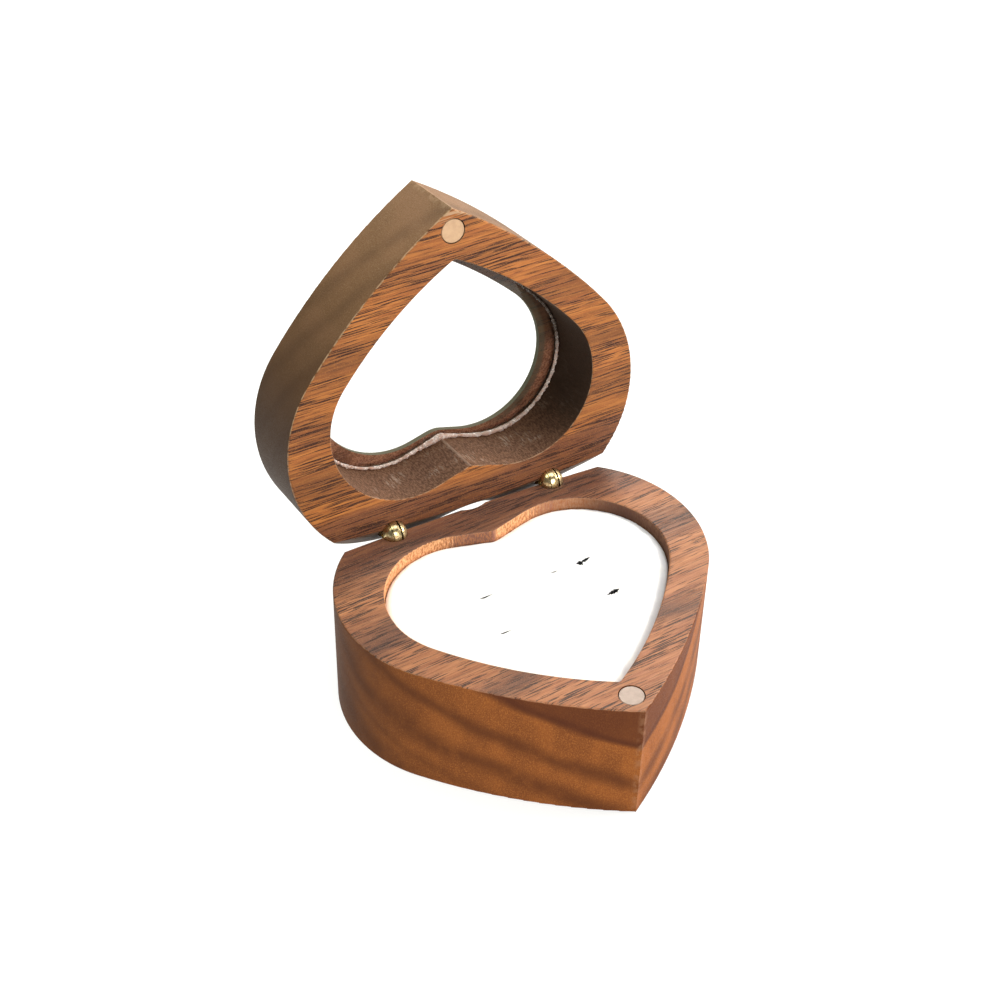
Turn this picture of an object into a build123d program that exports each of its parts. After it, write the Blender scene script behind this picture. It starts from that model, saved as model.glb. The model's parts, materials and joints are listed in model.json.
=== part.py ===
from build123d import *
import os
from math import asin, atan2, cos, radians, sin, sqrt, tan

# A heart-shaped wooden ring box, standing open. All sizes are in millimetres.
# The point of the heart faces -Y, the hinge line runs along X at the back, and +Z is up.
# The origin lies on the table under the centre line of the heart, so z = 0 is the base's underside.

# ---- wooden shells -------------------------------------------------------------------------------
BASE_HEIGHT = 27.5
LID_HEIGHT = 16.9
MATING_GAP = 0.2            # between the two wooden faces when the lid is shut
OPEN_ANGLE = 98.6           # between the two mating faces when the lid rests on its stop
EDGE_ROUNDING = 0.3         # sanded arrises

# Each heart is one half outline, mirrored: the side arc springs from the point and runs tangent
# into the lobe's arc, whose centre is at (lobe_x, lobe_y). The pockets' lobes end in straight arms
# that meet at cleft_y on the centre line.
OUTLINE = dict(tip=41.8, side_radius=121.7, lobe_radius=26.8, lobe_x=11.7, lobe_y=3.0)
BASE_POCKET = dict(tip=33.1, side_radius=89.0, lobe_radius=17.1, lobe_x=12.5, lobe_y=0.8, cleft_y=15.0)
LID_POCKET = dict(tip=31.4, side_radius=83.4, lobe_radius=17.0, lobe_x=12.2, lobe_y=-0.1, cleft_y=14.0)
WINDOW = dict(tip=27.5, side_radius=96.2, lobe_radius=15.9, lobe_x=9.6, lobe_y=-0.8, cleft_y=13.1)

# The outer heart's back is one wave: crown, shallow valley, crown.
CROWN_RADIUS = 15.5
CROWN_START = 73.0          # angle round the lobe where its arc hands over to the crown
VALLEY_Y = 23.25            # bottom of the valley between the crowns

BASE_POCKET_DEPTH = 20.5
LID_POCKET_DEPTH = 15.45    # down to the ledge that carries the pane
POCKET_TIP_RADIUS = 1.0     # left by the cutter in the pockets' points
POCKET_CLEFT_RADIUS = 0.7   # sanded off the wood between the lobes
WINDOW_CLEFT_RADIUS = 6.0

# The back edges of both mating faces are planed off, which makes the V that limits the opening.
# Seen from above the planed edge bows slightly forward towards the sides.
BASE_BEVEL_ANGLE = 50.0     # both from the mating face
LID_BEVEL_ANGLE = 48.0
BASE_BEVEL_Y = 23.75
LID_BEVEL_Y = 22.95
BASE_BEVEL_BOW = 600.0       # radius of that bow
LID_BEVEL_BOW = 300.0
BEVEL_REACH = 12.0          # cuts well past the outline
FLAT = 0.001                # how near zero counts as on the centre line

# ---- window ---------------------------------------------------------------------------------------
PANE_THICKNESS = 1.5
PANE_CLEARANCE = 0.1
BEAD_WIDTH = 0.7
BEAD_HEIGHT = 0.5

# ---- magnets --------------------------------------------------------------------------------------
MAGNET_RADIUS = 2.4
MAGNET_THICKNESS = 2.5
MAGNET_RECESS = 0.1
MAGNET_BORE_RADIUS = 2.55
MAGNET_Y = -37.1

# ---- ring cushion ---------------------------------------------------------------------------------
CARD_THICKNESS = 1.0
CUSHION_BELOW_RIM = 2.2
COVER_THICKNESS = 0.8
CUSHION_CLEARANCE = 0.2
FOAM_CLEARANCE = 0.05
SLIT_WIDTH = 0.9
SLIT_DEPTH = 12.0
SLIT_CENTRE_X = 1.9
SLITS = ((1.1, 27.0), (-9.5, 29.0))     # (y, length) of each slit

# ---- barrel hinges, measured from the pivot along each barrel's own axis ---------------------------
HINGE_X = 18.1
HINGE_Y = 23.6
HINGE_Z = BASE_HEIGHT + MATING_GAP / 2
BALL_RADIUS = 2.65
BARREL_RADIUS = 2.65
BARREL_END = 10.0
BARREL_BORE_RADIUS = 2.7
SHOULDER = 2.8              # where the barrel's body begins
SHOULDER_CHAMFER = 0.6
NECK_HALF_DEPTH = 1.6
NECK_RADIUS = 2.5
LEAF_LEFT = -1.0
LEAF_RIGHT = 0.5
FORK_LEFT = -1.12
FORK_RIGHT = 0.9
LEAF_TAIL = 7.0
RIVET_DISTANCE = 5.0
PIN_RADIUS = 0.6
PIN_LENGTH = 4.4
RIVET_LENGTH = 4.8
FIXED_HOLE_RADIUS = PIN_RADIUS + 0.02
RUNNING_HOLE_RADIUS = PIN_RADIUS + 0.05

# ---- frames ---------------------------------------------------------------------------------------
OPEN = radians(OPEN_ANGLE)
LID_UP = Vector(0, sin(OPEN), cos(OPEN))        # away from the lid's mating face, into the lid
LID_BACK = Vector(0, cos(OPEN), -sin(OPEN))     # from the lid's point towards the hinge line


def base_plane(height):
    """Horizontal plane at a height above the table."""
    return Plane.XY.offset(height)


def lid_plane(height):
    """Plane parallel to the lid's mating face and that far into the lid, with the heart's x and y."""
    pivot = Vector(0, HINGE_Y, HINGE_Z)
    origin = pivot - LID_BACK * HINGE_Y + LID_UP * (height + MATING_GAP / 2)
    return Plane(origin=origin, x_dir=(1, 0, 0), z_dir=LID_UP)


def barrel_plane(hinge_x, direction):
    """Plane through a hinge's pivot, at right angles to the barrel that leaves it in a direction."""
    return Plane(origin=(hinge_x, HINGE_Y, HINGE_Z), x_dir=(1, 0, 0), z_dir=direction)


# ---- outlines -------------------------------------------------------------------------------------
def arc_about(centre, start, end):
    """Arc about a centre, the short way round."""
    radius = (start - centre).length
    middle = centre + (start + end - centre * 2).normalized() * radius
    ThreePointArc(start, middle, end)


def side_arc(heart):
    """Right-hand side of a heart, from its point to the lobe. Returns the lobe's centre and start."""
    side_radius = heart["side_radius"]
    lobe_radius = heart["lobe_radius"]
    point = Vector(0, -heart["tip"])
    lobe = Vector(heart["lobe_x"], heart["lobe_y"])
    span = (lobe - point).length
    reach = side_radius - lobe_radius
    along = (side_radius ** 2 + span ** 2 - reach ** 2) / (2 * span)
    across = sqrt(side_radius ** 2 - along ** 2)
    forward = (lobe - point).normalized()
    leftward = Vector(-forward.Y, forward.X)
    centre = point + forward * along + leftward * across
    tangent = centre + (lobe - centre).normalized() * side_radius
    arc_about(centre, point, tangent)
    return lobe, tangent


def heart_face(heart, tip_radius, cleft_radius):
    """Plain heart with its point and its cleft rounded."""
    lobe_radius = heart["lobe_radius"]
    cleft = Vector(0, heart["cleft_y"])
    with BuildLine() as outline:
        lobe, start = side_arc(heart)
        to_lobe = lobe - cleft
        half_angle = asin(lobe_radius / to_lobe.length)
        rise = atan2(to_lobe.Y, to_lobe.X) + half_angle
        arm_length = to_lobe.length * cos(half_angle)
        arm_end = cleft + Vector(cos(rise), sin(rise)) * arm_length
        arc_about(lobe, start, arm_end)
        Line(arm_end, cleft)
        mirror(about=Plane.YZ)
    make_face(outline.edges())
    fillet(vertices().sort_by(Axis.Y)[0], tip_radius)
    on_centre_line = vertices().filter_by_position(Axis.X, -FLAT, FLAT)
    fillet(on_centre_line.sort_by(Axis.Y)[-1], cleft_radius)


def outer_face():
    """Outer heart: the lobe runs into a tighter crown, and a hollow arc joins the two crowns."""
    lobe_radius = OUTLINE["lobe_radius"]
    with BuildLine() as outline:
        lobe, start = side_arc(OUTLINE)
        spoke = Vector(cos(radians(CROWN_START)), sin(radians(CROWN_START)))
        handover = lobe + spoke * lobe_radius
        crown = lobe + spoke * (lobe_radius - CROWN_RADIUS)
        rise = crown.Y - VALLEY_Y
        valley_radius = (crown.X ** 2 + rise ** 2 - CROWN_RADIUS ** 2) / (2 * (CROWN_RADIUS + rise))
        valley = Vector(0, VALLEY_Y + valley_radius)
        meeting = crown + (valley - crown).normalized() * CROWN_RADIUS
        arc_about(lobe, start, handover)
        arc_about(crown, handover, meeting)
        arc_about(valley, meeting, Vector(0, VALLEY_Y))
        mirror(about=Plane.YZ)
    make_face(outline.edges())


def shrunk_heart(heart, inset):
    """The same heart with its outline moved inwards."""
    heart_face(heart, POCKET_TIP_RADIUS, POCKET_CLEFT_RADIUS)
    offset(amount=-inset, kind=Kind.INTERSECTION)


def plane_off_back(arris, back, outward, angle, bow):
    """Takes the back edge off a mating face, along a line that bows forward at its ends."""
    section = Plane(origin=arris - back * bow, x_dir=-back, z_dir=outward.cross(back))
    drop = BEVEL_REACH * tan(radians(angle))
    with BuildSketch(section) as waste:
        with BuildLine():
            Polyline(
                (bow - BEVEL_REACH, drop),
                (bow + BEVEL_REACH, drop),
                (bow + BEVEL_REACH, -drop),
                close=True,
            )
        make_face()
    revolve(waste.sketch, axis=Axis(section.origin, outward), mode=Mode.SUBTRACT)


# ---- wooden base ----------------------------------------------------------------------------------
with BuildPart() as base_body:
    with BuildSketch(base_plane(0)):
        outer_face()
    extrude(amount=BASE_HEIGHT)
    base_arris = Vector(0, BASE_BEVEL_Y, BASE_HEIGHT)
    plane_off_back(base_arris, Vector(0, 1, 0), Vector(0, 0, 1), BASE_BEVEL_ANGLE, BASE_BEVEL_BOW)
    with BuildSketch(base_plane(BASE_HEIGHT)):
        heart_face(BASE_POCKET, POCKET_TIP_RADIUS, POCKET_CLEFT_RADIUS)
    extrude(amount=-BASE_POCKET_DEPTH, mode=Mode.SUBTRACT)
    fillet(edges().filter_by(GeomType.LINE, reverse=True).group_by(Axis.Z)[0], EDGE_ROUNDING)
    fillet(edges().group_by(Axis.Z)[-1], EDGE_ROUNDING)
    with BuildSketch(base_plane(BASE_HEIGHT)):
        with Locations((0, MAGNET_Y)):
            Circle(MAGNET_BORE_RADIUS)
    extrude(amount=-(MAGNET_RECESS + MAGNET_THICKNESS), mode=Mode.SUBTRACT)
    with BuildSketch(base_plane(HINGE_Z - BARREL_END)):
        with Locations((-HINGE_X, HINGE_Y), (HINGE_X, HINGE_Y)):
            Circle(BARREL_BORE_RADIUS)
    extrude(amount=BARREL_END, mode=Mode.SUBTRACT)

# ---- wooden lid frame -----------------------------------------------------------------------------
with BuildPart() as lid_frame:
    with BuildSketch(lid_plane(0)):
        outer_face()
    extrude(amount=LID_HEIGHT)
    lid_arris = lid_plane(0).origin + LID_BACK * LID_BEVEL_Y
    plane_off_back(lid_arris, LID_BACK, -LID_UP, LID_BEVEL_ANGLE, LID_BEVEL_BOW)
    with BuildSketch(lid_plane(0)):
        heart_face(LID_POCKET, POCKET_TIP_RADIUS, POCKET_CLEFT_RADIUS)
    extrude(amount=LID_POCKET_DEPTH, mode=Mode.SUBTRACT)
    with BuildSketch(lid_plane(LID_POCKET_DEPTH)):
        heart_face(WINDOW, POCKET_TIP_RADIUS, WINDOW_CLEFT_RADIUS)
    extrude(amount=LID_HEIGHT - LID_POCKET_DEPTH, mode=Mode.SUBTRACT)
    across_lid = Axis(origin=(0, 0, 0), direction=LID_UP)
    fillet(edges().group_by(across_lid)[0], EDGE_ROUNDING)
    fillet(edges().group_by(across_lid)[-1], EDGE_ROUNDING)
    with BuildSketch(lid_plane(0)):
        with Locations((0, MAGNET_Y)):
            Circle(MAGNET_BORE_RADIUS)
    extrude(amount=MAGNET_RECESS + MAGNET_THICKNESS, mode=Mode.SUBTRACT)
    with BuildSketch(lid_plane(-MATING_GAP / 2)):
        with Locations((-HINGE_X, HINGE_Y), (HINGE_X, HINGE_Y)):
            Circle(BARREL_BORE_RADIUS)
    extrude(amount=BARREL_END, mode=Mode.SUBTRACT)

# ---- clear window ---------------------------------------------------------------------------------
with BuildPart() as window_pane:
    with BuildSketch(lid_plane(LID_POCKET_DEPTH - PANE_THICKNESS)):
        shrunk_heart(LID_POCKET, PANE_CLEARANCE)
    extrude(amount=PANE_THICKNESS)

with BuildPart() as window_glue_bead:
    with BuildSketch(lid_plane(LID_POCKET_DEPTH - PANE_THICKNESS - BEAD_HEIGHT)):
        shrunk_heart(LID_POCKET, PANE_CLEARANCE)
        offset(amount=-BEAD_WIDTH, kind=Kind.INTERSECTION, mode=Mode.SUBTRACT)
    extrude(amount=BEAD_HEIGHT)

# ---- magnets --------------------------------------------------------------------------------------
with BuildPart() as base_magnet:
    with BuildSketch(base_plane(BASE_HEIGHT - MAGNET_RECESS)):
        with Locations((0, MAGNET_Y)):
            Circle(MAGNET_RADIUS)
    extrude(amount=-MAGNET_THICKNESS)
    chamfer(edges().group_by(Axis.Z)[-1], MAGNET_RECESS)

with BuildPart() as lid_magnet:
    with BuildSketch(lid_plane(MAGNET_RECESS)):
        with Locations((0, MAGNET_Y)):
            Circle(MAGNET_RADIUS)
    extrude(amount=MAGNET_THICKNESS)
    chamfer(edges().group_by(across_lid)[0], MAGNET_RECESS)

# ---- ring cushion: foam on a card, under a fabric cover with two ring slits --------------------------
POCKET_FLOOR = BASE_HEIGHT - BASE_POCKET_DEPTH
CARD_TOP = POCKET_FLOOR + CARD_THICKNESS
COVER_TOP = BASE_HEIGHT - CUSHION_BELOW_RIM
FOAM_TOP = COVER_TOP - COVER_THICKNESS
FOAM_INSET = CUSHION_CLEARANCE + COVER_THICKNESS + FOAM_CLEARANCE


def cut_ring_slits():
    """Takes the two ring slits out of the part being built."""
    with BuildSketch(base_plane(COVER_TOP)) as slits:
        for slit_y, slit_length in SLITS:
            with Locations((SLIT_CENTRE_X, slit_y)):
                SlotOverall(slit_length, SLIT_WIDTH)
    extrude(slits.sketch, amount=-SLIT_DEPTH, mode=Mode.SUBTRACT)


with BuildPart() as cushion_card:
    with BuildSketch(base_plane(POCKET_FLOOR)):
        shrunk_heart(BASE_POCKET, CUSHION_CLEARANCE)
    extrude(amount=CARD_THICKNESS)

with BuildPart() as cushion_foam:
    with BuildSketch(base_plane(CARD_TOP)):
        shrunk_heart(BASE_POCKET, FOAM_INSET)
    extrude(amount=FOAM_TOP - CARD_TOP)
    cut_ring_slits()

with BuildPart() as cushion_cover:
    with BuildSketch(base_plane(CARD_TOP)):
        shrunk_heart(BASE_POCKET, CUSHION_CLEARANCE)
    extrude(amount=COVER_TOP - CARD_TOP)
    with BuildSketch(base_plane(CARD_TOP)):
        shrunk_heart(BASE_POCKET, CUSHION_CLEARANCE + COVER_THICKNESS)
    extrude(amount=FOAM_TOP - CARD_TOP, mode=Mode.SUBTRACT)
    cut_ring_slits()


# ---- barrel hinges --------------------------------------------------------------------------------
def barrel_body(pivot_plane):
    """Cylindrical part of a barrel, from its shoulder to its blind end."""
    along = Axis(origin=(0, 0, 0), direction=pivot_plane.z_dir)
    with BuildSketch(pivot_plane.offset(SHOULDER)) as section:
        Circle(BARREL_RADIUS)
    extrude(section.sketch, amount=BARREL_END - SHOULDER)
    chamfer(edges().group_by(along)[0], SHOULDER_CHAMFER)


def side_plane(pivot_plane, across):
    """Plane beside the pivot, facing +X, whose y runs along the barrel."""
    origin = pivot_plane.origin + Vector(across, 0, 0)
    return Plane(origin=origin, x_dir=pivot_plane.y_dir, z_dir=(1, 0, 0))


def cross_hole(pivot_plane, distance, radius):
    """Hole across a barrel or leaf for a pin that lies along X."""
    with BuildSketch(side_plane(pivot_plane, -BARREL_RADIUS)) as hole:
        with Locations((0, distance)):
            Circle(radius)
    extrude(hole.sketch, amount=2 * BARREL_RADIUS, mode=Mode.SUBTRACT)


def slab(pivot_plane, left, right, start, end, half_depth, mode=Mode.ADD):
    """Block between two places across the barrel and two places along it."""
    with BuildSketch(side_plane(pivot_plane, left)) as profile:
        with Locations((0, (start + end) / 2)):
            Rectangle(2 * half_depth, end - start)
    extrude(profile.sketch, amount=right - left, mode=mode)


def base_barrel(pivot_plane):
    """Barrel set in the base: its ball is forked to take the leaf."""
    with BuildPart() as barrel:
        barrel_body(pivot_plane)
        with BuildSketch(pivot_plane):
            Circle(NECK_RADIUS)
            Rectangle(2 * NECK_RADIUS, 2 * NECK_HALF_DEPTH, mode=Mode.INTERSECT)
        extrude(amount=SHOULDER + SHOULDER_CHAMFER)
        with Locations(pivot_plane.origin):
            Sphere(BALL_RADIUS)
        slab(pivot_plane, FORK_LEFT, FORK_RIGHT, -BARREL_RADIUS, SHOULDER, BARREL_RADIUS, Mode.SUBTRACT)
        cross_hole(pivot_plane, 0, FIXED_HOLE_RADIUS)
    return barrel


def lid_barrel(pivot_plane):
    """Barrel set in the lid, slotted for the leaf's tail."""
    with BuildPart() as barrel:
        barrel_body(pivot_plane)
        slab(pivot_plane, LEAF_LEFT, LEAF_RIGHT, SHOULDER, LEAF_TAIL, BARREL_RADIUS, Mode.SUBTRACT)
        cross_hole(pivot_plane, RIVET_DISTANCE, FIXED_HOLE_RADIUS)
    return barrel


def hinge_leaf(pivot_plane):
    """Leaf that turns in the base barrel's fork and is riveted into the lid's barrel."""
    with BuildPart() as leaf:
        with Locations(pivot_plane.origin):
            Sphere(BALL_RADIUS)
        slab(pivot_plane, LEAF_LEFT, LEAF_RIGHT, -BARREL_RADIUS, BARREL_RADIUS, BARREL_RADIUS, Mode.INTERSECT)
        slab(pivot_plane, LEAF_LEFT, LEAF_RIGHT, 0, LEAF_TAIL, NECK_HALF_DEPTH)
        cross_hole(pivot_plane, 0, RUNNING_HOLE_RADIUS)
        cross_hole(pivot_plane, RIVET_DISTANCE, FIXED_HOLE_RADIUS)
    return leaf


def cross_pin(pivot_plane, distance, length):
    """Plain pin along X, at a distance from the pivot along a barrel."""
    with BuildPart() as pin:
        with BuildSketch(side_plane(pivot_plane, -length / 2)):
            with Locations((0, distance)):
                Circle(PIN_RADIUS)
        extrude(amount=length)
    return pin


parts = {
    "base_body": base_body,
    "lid_frame": lid_frame,
    "window_pane": window_pane,
    "window_glue_bead": window_glue_bead,
    "base_magnet": base_magnet,
    "lid_magnet": lid_magnet,
    "cushion_card": cushion_card,
    "cushion_foam": cushion_foam,
    "cushion_cover": cushion_cover,
}
for side, hinge_x in (("left", -HINGE_X), ("right", HINGE_X)):
    into_base = barrel_plane(hinge_x, Vector(0, 0, -1))
    into_lid = barrel_plane(hinge_x, LID_UP)
    parts[f"{side}_hinge_base_barrel"] = base_barrel(into_base)
    parts[f"{side}_hinge_lid_barrel"] = lid_barrel(into_lid)
    parts[f"{side}_hinge_leaf"] = hinge_leaf(into_lid)
    parts[f"{side}_hinge_pivot_pin"] = cross_pin(into_base, 0, PIN_LENGTH)
    parts[f"{side}_hinge_leaf_rivet"] = cross_pin(into_lid, RIVET_DISTANCE, RIVET_LENGTH)

os.makedirs("parts", exist_ok=True)
for name, builder in parts.items():
    builder.part.label = name
    export_step(builder.part, f"parts/{name}.step")
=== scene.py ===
import json
import math
import random

import bmesh
import bpy
from mathutils import Matrix, Vector, noise
from mathutils.geometry import delaunay_2d_cdt


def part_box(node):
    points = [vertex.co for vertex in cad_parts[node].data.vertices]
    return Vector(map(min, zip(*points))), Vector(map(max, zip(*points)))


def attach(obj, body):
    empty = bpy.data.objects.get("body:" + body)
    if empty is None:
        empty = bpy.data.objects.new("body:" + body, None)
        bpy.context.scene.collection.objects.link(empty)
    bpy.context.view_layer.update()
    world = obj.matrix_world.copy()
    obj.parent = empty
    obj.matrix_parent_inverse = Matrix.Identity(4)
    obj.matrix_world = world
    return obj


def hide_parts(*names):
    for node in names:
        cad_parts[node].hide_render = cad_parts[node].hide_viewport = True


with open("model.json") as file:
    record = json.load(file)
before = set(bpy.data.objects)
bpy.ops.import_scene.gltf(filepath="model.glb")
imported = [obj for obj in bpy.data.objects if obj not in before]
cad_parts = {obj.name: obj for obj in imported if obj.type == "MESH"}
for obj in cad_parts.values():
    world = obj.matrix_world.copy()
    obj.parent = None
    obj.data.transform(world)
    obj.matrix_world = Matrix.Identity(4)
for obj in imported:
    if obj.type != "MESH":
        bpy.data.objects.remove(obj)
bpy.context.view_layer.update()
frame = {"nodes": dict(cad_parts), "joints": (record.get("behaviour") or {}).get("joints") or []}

MM = 0.001
NODES = frame["nodes"]

# ---- places read from the frame ---------------------------------------------------------------
hinge = frame["joints"][0]
PIVOT = Vector(hinge["pos_m"])
OPEN = math.radians(hinge["range_deg"][1])
BASE_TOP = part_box("base_body")[1].z
CUSHION_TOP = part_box("cushion_cover")[1].z
CUSHION_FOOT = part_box("cushion_cover")[0].z

# ---- driving dimensions of the soft and hand-made pieces -----------------------------------------
# A heart's half outline: a side arc from the point, tangent into a lobe's arc, and a straight arm
# down to the cleft (millimetres).
BASE_POCKET = dict(tip=33.1, side_radius=89.0, lobe_radius=17.1, lobe_x=12.5, lobe_y=0.8, cleft_y=15.0)
LID_POCKET = dict(tip=31.4, side_radius=83.4, lobe_radius=17.0, lobe_x=12.2, lobe_y=-0.1, cleft_y=14.0)
PANE_FACE = 13.95           # from the lid's mating face to the pane's inner face
MATING_GAP = 0.2
POINT_Y = -41.8             # the point of the heart
WINDOW_LOBE = (9.6, -0.8)   # middle of the window's right lobe
SHADOW_RADIUS = 16.9         # how far from there the ledge is painted in shadow
SHADOW_EDGE = 0.8            # over how much it fades


# ================================================================================== node helpers
def add_node(tree, kind, inputs=None, **settings):
    """Adds a shader node, sets its properties, then links or sets its inputs."""
    node = tree.nodes.new("ShaderNode" + kind)
    for name, value in settings.items():
        setattr(node, name, value)
    for name, value in (inputs or {}).items():
        socket = node.inputs[name]
        if isinstance(value, bpy.types.NodeSocket):
            tree.links.new(value, socket)
        else:
            socket.default_value = value
    return node


class Graph:
    """Short names for the nodes that a procedural material is made of."""

    def __init__(self, name):
        self.material = bpy.data.materials.new(name)
        self.material.use_nodes = True
        self.tree = self.material.node_tree
        self.tree.nodes.clear()
        self.output = add_node(self.tree, "OutputMaterial")

    def math(self, operation, first, second=0.0, third=0.0, clamp=False):
        node = add_node(self.tree, "Math", {0: first, 1: second, 2: third}, operation=operation)
        node.use_clamp = clamp
        return node.outputs[0]

    def vector_math(self, operation, first, second=(0.0, 0.0, 0.0), out=0):
        node = add_node(self.tree, "VectorMath", {0: first, 1: second}, operation=operation)
        return node.outputs[out]

    def scaled(self, vector, factors):
        return self.vector_math("MULTIPLY", vector, factors)

    def noise(self, vector, scale=1.0, detail=2.0, roughness=0.5, distortion=0.0, out="Fac"):
        inputs = {"Vector": vector, "Scale": scale, "Detail": detail, "Roughness": roughness}
        inputs["Distortion"] = distortion
        return add_node(self.tree, "TexNoise", inputs).outputs[out]

    def voronoi(self, vector, scale=1.0, randomness=1.0, feature="F1", out="Distance"):
        inputs = {"Vector": vector, "Scale": scale, "Randomness": randomness}
        return add_node(self.tree, "TexVoronoi", inputs, feature=feature).outputs[out]

    def fade(self, value, low, high, to_low=0.0, to_high=1.0):
        """Smooth step of a value between two limits."""
        inputs = {"Value": value, "From Min": low, "From Max": high, "To Min": to_low, "To Max": to_high}
        node = add_node(self.tree, "MapRange", inputs, interpolation_type="SMOOTHSTEP")
        return node.outputs[0]

    def mix(self, factor, first, second, blend="MIX"):
        node = add_node(self.tree, "Mix", data_type="RGBA", blend_type=blend)
        for name, value in ((0, factor), (6, first), (7, second)):
            socket = node.inputs[name]
            if isinstance(value, bpy.types.NodeSocket):
                self.tree.links.new(value, socket)
            else:
                socket.default_value = value if name == 0 else (*value, 1.0)
        return node.outputs[2]

    def split(self, vector):
        node = add_node(self.tree, "SeparateXYZ", {0: vector})
        return node.outputs[0], node.outputs[1], node.outputs[2]

    def join(self, x, y, z):
        return add_node(self.tree, "CombineXYZ", {0: x, 1: y, 2: z}).outputs[0]

    def bump(self, height, distance, strength=1.0, normal=None):
        inputs = {"Height": height, "Distance": distance, "Strength": strength}
        if normal is not None:
            inputs["Normal"] = normal
        return add_node(self.tree, "Bump", inputs).outputs[0]

    def principled(self, **inputs):
        """Principled shader to the output. Underscores in names stand for spaces."""
        shader = add_node(self.tree, "BsdfPrincipled")
        for name, value in inputs.items():
            socket = shader.inputs[name.replace("_", " ")]
            if isinstance(value, bpy.types.NodeSocket):
                self.tree.links.new(value, socket)
            elif isinstance(value, tuple) and len(value) == 3 and socket.type == "RGBA":
                socket.default_value = (*value, 1.0)
            else:
                socket.default_value = value
        self.tree.links.new(shader.outputs[0], self.output.inputs[0])
        return shader


def object_mm(graph):
    """Position in the row's frame at rest, in millimetres."""
    coordinates = add_node(graph.tree, "TexCoord").outputs["Object"]
    return graph.scaled(coordinates, (1000.0, 1000.0, 1000.0))


def closed_lid_mm(graph):
    """Position on the lid as if it were shut, in millimetres: z is 27.6 on the mating plane."""
    centre = PIVOT * 1000.0
    inputs = {"Vector": object_mm(graph), "Center": centre, "Angle": OPEN}
    turned = add_node(graph.tree, "VectorRotate", inputs, rotation_type="X_AXIS")
    return turned.outputs[0]


# ================================================================================== walnut
def band(g, value, centre, half_width, depth):
    """A soft dark growth line: depth at the centre, nothing beyond the half width."""
    away = g.math("ABSOLUTE", g.math("SUBTRACT", value, centre))
    return g.fade(away, 0.0, half_width, depth, 0.0)


def long_noise(g, x, y, z, length, width, detail, roughness, shift=0.0):
    """Noise stretched along the grain: features about length by width millimetres."""
    place = g.join(g.math("DIVIDE", g.math("ADD", x, shift), length), g.math("DIVIDE", y, width),
                   g.math("DIVIDE", z, width * 1.6))
    return g.noise(place, 1.0, detail, roughness)


def dashes(g, x, y, row, length, reach):
    """Open vessels cut along their length: thin dark dashes in rows, long along X."""
    cells = g.voronoi(g.join(g.math("DIVIDE", x, length), g.math("DIVIDE", y, row), 0.0))
    return g.math("SUBTRACT", 1.0, g.fade(g.math("DIVIDE", cells, reach), 0.7, 1.0))


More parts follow.
